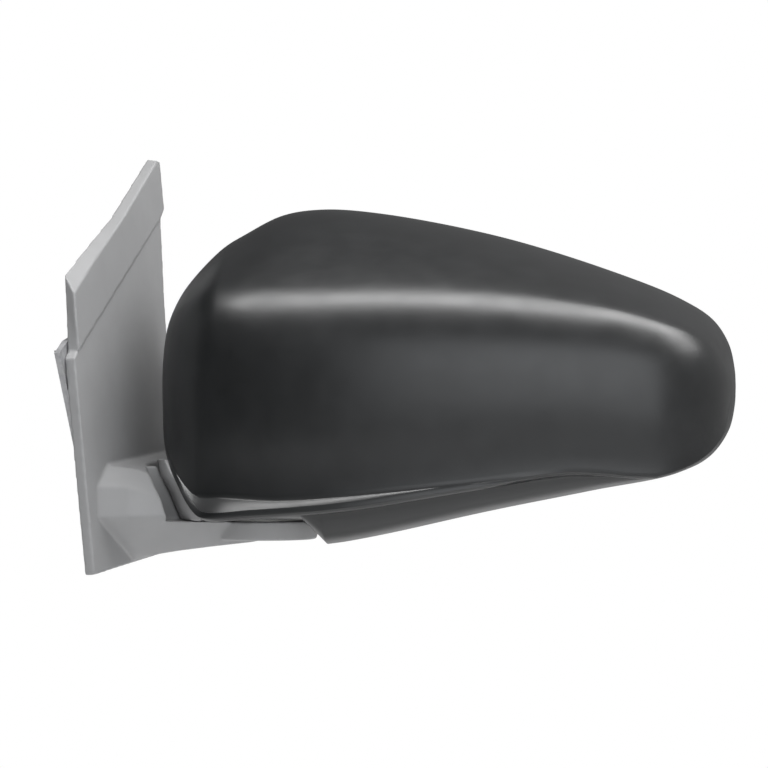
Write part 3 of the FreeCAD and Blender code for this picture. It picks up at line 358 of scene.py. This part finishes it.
def make_rear_housing():
    """Rear housing: the outside curls over to a rim round the glass, then runs down the tub."""
    outer = joint_loop()
    offset = outer - MIDDLE
    angles = np.arctan2(offset[:, 1], offset[:, 0])
    outer_radius = np.hypot(offset[:, 0], offset[:, 1])
    opening_radius = radius_at(closed_curve(GLASS_EDGE), angles) + GLASS_GAP
    start, rim = JOINT_Y + JOINT_GAP, RIM_Y - JOINT_GAP
    span = outer_radius - opening_radius
    profile = []
    curl = bezier(np.array([0.0, 0.0]), np.array([0.0, 0.72]), np.array([0.22, 1.0]),
                  np.array([0.8, 1.0]), 26, last=True)
    for across, up in curl:
        profile.append((outer_radius - across * span, start + up * (rim - start)))
    for turn in np.linspace(0.15, 1, 6):
        angle = turn * math.pi / 2
        edge = 0.2 * span
        profile.append((opening_radius + edge - edge * np.sin(angle),
                        rim - 1.6 * (1 - math.cos(angle))))
    for depth in np.linspace(rim - 3, TUB_DEPTH, 8):
        profile.append((opening_radius - 0.02 * (rim - depth), np.full_like(angles, depth)))
    for share in (0.97, 0.85, 0.62):
        profile.append((opening_radius * share, np.full_like(angles, TUB_FLOOR)))
    vertices = []
    for radius, depth in profile:
        depth = np.broadcast_to(depth, angles.shape)
        for r, y, angle in zip(radius, depth, angles):
            vertices.append(clear_of_pocket(MIDDLE[0] + r * math.cos(angle), y,
                                            MIDDLE[1] + r * math.sin(angle)))
    width = len(angles)
    faces = [(a * width + c, a * width + (c + 1) % width, (a + 1) * width + (c + 1) % width,
              (a + 1) * width + c) for a in range(len(profile) - 1) for c in range(width)]
    housing = mesh_object("rear_housing_shell", to_world(vertices), faces)
    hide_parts("rear_housing")
    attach(housing, "head")
    return housing


# ---------------------------------------------------------------- base cover


def foot_radius(z):
    return FOOT_LOW + (FOOT_HIGH - FOOT_LOW) * (z - FOOT_BOTTOM) / (FOOT_TOP - FOOT_BOTTOM)


def pocket_radius(z):
    """A radius inside the skin of the cover's pocket, where the web can root."""
    return POCKET_WEB + POCKET_SLOPE * (z - FOOT_BOTTOM)


def add_pocket_wall(cover):
    """Add the web that closes the cover's pocket beside the turret."""
    corners, faces = [], []
    middle = -46
    outline = [(WEB_BOTTOM, foot_radius(WEB_BOTTOM) + 2.0), (WEB_BOTTOM, pocket_radius(WEB_BOTTOM)),
               (WEB_TOP, pocket_radius(WEB_TOP)), (WEB_TOP, foot_radius(FOOT_TOP) + 0.3),
               (middle, foot_radius(middle) + 0.35)]
    for angle in np.radians(np.linspace(*WEB_ANGLES, 4)):
        for z, radius in outline:
            corner = Vector((radius * math.cos(angle), radius * math.sin(angle), z))
            corners.append(FOLD_POINT + corner * MM)
    sides = len(outline)
    last = len(corners) - sides
    for start in range(0, last, sides):
        for k in range(sides):
            after = start + (k + 1) % sides
            faces.append((start + k, after, after + sides, start + k + sides))
    faces += [tuple(range(sides))[::-1], tuple(range(last, last + sides))]
    wall = mesh_object("pocket_wall", corners, faces)
    wall.data.transform(cover.matrix_world.inverted())
    work = bmesh.new()
    work.from_mesh(cover.data)
    work.from_mesh(wall.data)
    work.to_mesh(cover.data)
    work.free()
    bpy.data.objects.remove(wall)


def copy_of(node, name):
    source = frame["nodes"][node]
    piece = source.copy()
    piece.data = source.data.copy()
    piece.name = name
    piece.parent = None
    piece.matrix_world = source.matrix_world
    bpy.context.scene.collection.objects.link(piece)
    return piece


def remesh(piece, voxel):
    """An even mesh over a piece, its sharp edges rounded a little."""
    modifier = piece.modifiers.new("remesh", "REMESH")
    modifier.mode = "VOXEL"
    modifier.voxel_size = voxel * MM
    apply_modifiers(piece)
    shade_smooth(piece)


def soften(piece, iterations, group=""):
    modifier = piece.modifiers.new("soften", "SMOOTH")
    modifier.factor = 0.5
    modifier.iterations = iterations
    modifier.vertex_group = group


def make_base_cover():
    """The moulded base cover: the CAD shape with its edges and roots rounded over."""
    cover = copy_of("base_cover", "base_cover_shell")
    add_pocket_wall(cover)
    remesh(cover, COVER_VOXEL)
    boss = cover.vertex_groups.new(name="boss")
    for vertex in cover.data.vertices:
        place = cover.matrix_world @ vertex.co
        near = ease(-0.022, -0.034, place.z) * ease(0.008, 0.0125, place.x)
        boss.add([vertex.index], float(near), "REPLACE")
    soften(cover, 8)
    soften(cover, 12, "boss")
    apply_modifiers(cover)
    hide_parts("base_cover")
    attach(cover, "base")
    return cover


def make_head_foot():
    """The turret: the CAD foot, a little taller and drawn in behind the cap's skin."""
    foot = copy_of("head_foot", "head_foot_shell")
    remesh(foot, FOOT_VOXEL)
    places = np.arange(-44.0, 1.0)
    sections = [section(x) for x in places]
    to_head = HEAD_MATRIX.inverted() @ foot.matrix_world
    to_foot = to_head.inverted()
    for vertex in foot.data.vertices:
        x, y, z = to_head @ vertex.co
        spread = 1 + FOOT_SPREAD * float(ease(-44, FOOT_BOTTOM, z))
        x, y, z = x * spread, y * spread, z + FOOT_RISE * float(ease(-39, -36.6, z))
        if places[0] <= x <= places[-1]:
            rows, edge = sections[round(x - places[0])]
            skin = np.interp(z, rows[edge::-1, 1], rows[edge::-1, 0]) + WALL + 0.8
            under = ease(bottom_line(x) - 1, bottom_line(x) + 4, z)
            y += float(under * max(0, skin - y))
        vertex.co = to_foot @ Vector((x, y, z))
    soften(foot, 4)
    apply_modifiers(foot)
    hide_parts("head_foot")
    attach(foot, "head")
    return foot


# ---------------------------------------------------------------- materials


def new_material(name):
    material = bpy.data.materials.new(name)
    material.use_nodes = True
    tree = material.node_tree
    shader = tree.nodes["Principled BSDF"]
    coordinates = tree.nodes.new("ShaderNodeTexCoord")
    return material, tree, shader, coordinates.outputs["Object"]


def noise(tree, source, scale, detail=3.0, roughness=0.5):
    node = tree.nodes.new("ShaderNodeTexNoise")
    node.inputs["Scale"].default_value = scale
    node.inputs["Detail"].default_value = detail
    node.inputs["Roughness"].default_value = roughness
    tree.links.new(source, node.inputs["Vector"])
    return node.outputs["Fac"]


def ramp(tree, source, low, high, from_low=0.3, from_high=0.7):
    node = tree.nodes.new("ShaderNodeMapRange")
    node.inputs["From Min"].default_value = from_low
    node.inputs["From Max"].default_value = from_high
    node.inputs["To Min"].default_value = low
    node.inputs["To Max"].default_value = high
    tree.links.new(source, node.inputs["Value"])
    return node.outputs["Result"]


def two_tone(tree, source, dark, light):
    node = tree.nodes.new("ShaderNodeMix")
    node.data_type = "RGBA"
    node.inputs["A"].default_value = (*dark, 1)
    node.inputs["B"].default_value = (*light, 1)
    tree.links.new(ramp(tree, source, 0, 1), node.inputs["Factor"])
    return node.outputs["Result"]


def bump(tree, shader, source, depth, distance=0.0002):
    node = tree.nodes.new("ShaderNodeBump")
    node.inputs["Strength"].default_value = depth
    node.inputs["Distance"].default_value = distance
    tree.links.new(source, node.inputs["Height"])
    tree.links.new(node.outputs["Normal"], shader.inputs["Normal"])


def moulded_plastic(name, colour, spread, roughness, grain, depth, specular=0.5):
    """Moulded plastic: fine spark-eroded grain, faint mottling and uneven gloss."""
    material, tree, shader, place = new_material(name)
    dark = [c * (1 - spread) for c in colour]
    light = [c * (1 + spread) for c in colour]
    tree.links.new(two_tone(tree, noise(tree, place, 60, 4), dark, light),
                   shader.inputs["Base Color"])
    tree.links.new(ramp(tree, noise(tree, place, 90, 3), roughness - 0.03, roughness + 0.03),
                   shader.inputs["Roughness"])
    shader.inputs["Specular IOR Level"].default_value = specular
    bump(tree, shader, noise(tree, place, grain, 2, 0.6), depth)
    return material


def metal(name, colour, roughness, scratch=900):
    """Plated or cast metal with fine uneven brushing."""
    material, tree, shader, place = new_material(name)
    dark = [c * 0.82 for c in colour]
    tree.links.new(two_tone(tree, noise(tree, place, 150, 4), dark, colour),
                   shader.inputs["Base Color"])
    tree.links.new(ramp(tree, noise(tree, place, scratch, 4), roughness - 0.08, roughness + 0.1),
                   shader.inputs["Roughness"])
    shader.inputs["Metallic"].default_value = 1.0
    bump(tree, shader, noise(tree, place, scratch, 5), 0.15, 0.0001)
    return material


def mirror_material():
    """Silvered glass: a clean metal reflection with the faintest uneven tint and haze."""
    material, tree, shader, place = new_material("mirror_silver")
    tree.links.new(two_tone(tree, noise(tree, place, 12, 2), (0.84, 0.87, 0.89),
                            (0.87, 0.9, 0.91)), shader.inputs["Base Color"])
    tree.links.new(ramp(tree, noise(tree, place, 40, 3), 0.015, 0.03), shader.inputs["Roughness"])
    shader.inputs["Metallic"].default_value = 1.0
    return material


def heater_material():
    """Printed film with a fine meander of resistive track."""
    material, tree, shader, place = new_material("heater_film")
    wave = tree.nodes.new("ShaderNodeTexWave")
    wave.inputs["Scale"].default_value = 60
    wave.inputs["Distortion"].default_value = 1.5
    tree.links.new(place, wave.inputs["Vector"])
    tree.links.new(two_tone(tree, wave.outputs["Fac"], (0.3, 0.13, 0.03), (0.5, 0.3, 0.12)),
                   shader.inputs["Base Color"])
    shader.inputs["Roughness"].default_value = 0.4
    return material


def make_materials():
    return {
        "black_shell": moulded_plastic("black_shell", (0.0085, 0.009, 0.0095), 0.12, 0.33, 5200,
                                       0.035),
        "black_moulding": moulded_plastic("black_moulding", (0.014, 0.014, 0.0145), 0.15, 0.52,
                                          2600, 0.25),
        "grey_plastic": moulded_plastic("grey_plastic", (0.225, 0.225, 0.227), 0.035, 0.5, 2600,
                                        0.22, 0.4),
        "cast_alloy": metal("cast_alloy", (0.42, 0.42, 0.43), 0.62, 500),
        "filled_nylon": moulded_plastic("filled_nylon", (0.035, 0.035, 0.036), 0.2, 0.5, 1500, 0.3),
        "rubber": moulded_plastic("rubber", (0.022, 0.022, 0.022), 0.2, 0.8, 1800, 0.3, 0.25),
        "zinc_steel": metal("zinc_steel", (0.66, 0.66, 0.63), 0.3),
        "spring_steel": metal("spring_steel", (0.35, 0.35, 0.37), 0.3),
        "acetal": moulded_plastic("acetal", (0.78, 0.77, 0.73), 0.04, 0.38, 1800, 0.08),
        "case_plastic": moulded_plastic("case_plastic", (0.06, 0.06, 0.065), 0.15, 0.45, 2000, 0.2),
        "motor_can": metal("motor_can", (0.6, 0.6, 0.6), 0.25),
        "brass": metal("brass", (0.75, 0.57, 0.25), 0.25),
        "heater_film": heater_material(),
        "mirror_silver": mirror_material(),
    }


def dress(obj, material):
    obj.data.materials.clear()
    obj.data.materials.append(material)


def dress_cad_nodes(materials):
    slots = {row["node"]: row["material_slot"] for row in frame["record"]["subparts"]}
    for node, obj in frame["nodes"].items():
        for i in range(len(obj.material_slots)):
            obj.material_slots[i].material = materials[slots[node]]


# ---------------------------------------------------------------- stage


def area_light(name, location, target, size_x, size_y, power, colour=(1, 1, 1)):
    data = bpy.data.lights.new(name, "AREA")
    data.shape = "RECTANGLE"
    data.size = size_x
    data.size_y = size_y
    data.energy = power
    data.color = colour
    obj = bpy.data.objects.new(name, data)
    obj.location = location
    direction = Vector(target) - Vector(location)
    obj.rotation_euler = direction.to_track_quat("-Z", "Y").to_euler()
    obj.visible_camera = False
    bpy.context.scene.collection.objects.link(obj)
    return obj


CAMERA_AZIMUTH = math.radians(18)
CAMERA_DISTANCE = 1.5
CAMERA_LENS = 167.4
CAMERA_RIGHT = Vector((math.cos(CAMERA_AZIMUTH), math.sin(CAMERA_AZIMUTH), 0))
CAMERA_BACK = Vector((math.sin(CAMERA_AZIMUTH), -math.cos(CAMERA_AZIMUTH), 0))
TARGET = FOLD_POINT + CAMERA_RIGHT * 0.0504


def make_camera():
    data = bpy.data.cameras.new("camera")
    data.lens = CAMERA_LENS
    data.sensor_width = 36
    camera = bpy.data.objects.new("camera", data)
    camera.location = TARGET + CAMERA_BACK * CAMERA_DISTANCE
    camera.rotation_euler = (-CAMERA_BACK).to_track_quat("-Z", "Y").to_euler()
    bpy.context.scene.collection.objects.link(camera)
    bpy.context.scene.camera = camera


def from_camera(right, up, back):
    """A place given by metres to the right of, above and in front of the target."""
    return TARGET + CAMERA_RIGHT * right + Vector((0, 0, up)) + CAMERA_BACK * back


def make_stage():
    bpy.ops.mesh.primitive_circle_add(vertices=96, radius=1.1, fill_type="NGON",
                                      location=(TARGET.x, TARGET.y, -0.32))
    floor = bpy.context.object
    floor.name = "floor"
    material, tree, shader, place = new_material("floor_paint")
    tree.links.new(two_tone(tree, noise(tree, place, 8, 3), (0.86, 0.86, 0.86), (0.88, 0.88, 0.88)),
                   shader.inputs["Base Color"])
    shader.inputs["Roughness"].default_value = 0.7
    dress(floor, material)


WORLD_DARK, WORLD_BRIGHT = 0.01, 0.42


def make_world():
    """White to the camera; to everything else a studio that is dark behind and to the left."""
    world = bpy.data.worlds.new("studio")
    bpy.context.scene.world = world
    world.use_nodes = True
    tree = world.node_tree
    tree.nodes.clear()
    output = tree.nodes.new("ShaderNodeOutputWorld")
    mix = tree.nodes.new("ShaderNodeMixShader")
    path = tree.nodes.new("ShaderNodeLightPath")
    seen = tree.nodes.new("ShaderNodeBackground")
    seen.inputs["Color"].default_value = (1, 1, 1, 1)
    lit = tree.nodes.new("ShaderNodeBackground")
    lit.inputs["Color"].default_value = (1, 1, 1, 1)
    place = tree.nodes.new("ShaderNodeTexCoord")
    toward = tree.nodes.new("ShaderNodeVectorMath")
    toward.operation = "DOT_PRODUCT"
    toward.inputs[1].default_value = CAMERA_RIGHT * 0.8 + CAMERA_BACK * 0.15 + Vector((0, 0, 0.35))
    tree.links.new(place.outputs["Generated"], toward.inputs[0])
    tree.links.new(ramp(tree, toward.outputs["Value"], WORLD_DARK, WORLD_BRIGHT, -0.6, 0.6),
                   lit.inputs["Strength"])
    tree.links.new(path.outputs["Is Camera Ray"], mix.inputs["Fac"])
    tree.links.new(lit.outputs["Background"], mix.inputs[1])
    tree.links.new(seen.outputs["Background"], mix.inputs[2])
    tree.links.new(mix.outputs["Shader"], output.inputs["Surface"])


def make_lights():
    area_light("overhead", from_camera(0.06, 0.8, 0.22), TARGET, 1.7, 0.2, 17)
    area_light("high_right", from_camera(1.2, 0.85, 0.1), TARGET, 0.6, 0.5, 6)
    area_light("front", from_camera(0.4, 0.3, 1.6), TARGET, 1.9, 1.0, 14, (0.94, 0.97, 1))


materials = make_materials()
dress_cad_nodes(materials)
for shell in make_head_front():
    dress(shell, materials["black_shell"])
dress(make_rear_housing(), materials["black_moulding"])
dress(make_base_cover(), materials["grey_plastic"])
dress(make_head_foot(), materials["grey_plastic"])
make_camera()
make_stage()
make_world()
make_lights()
bpy.context.scene.view_settings.view_transform = "Standard"
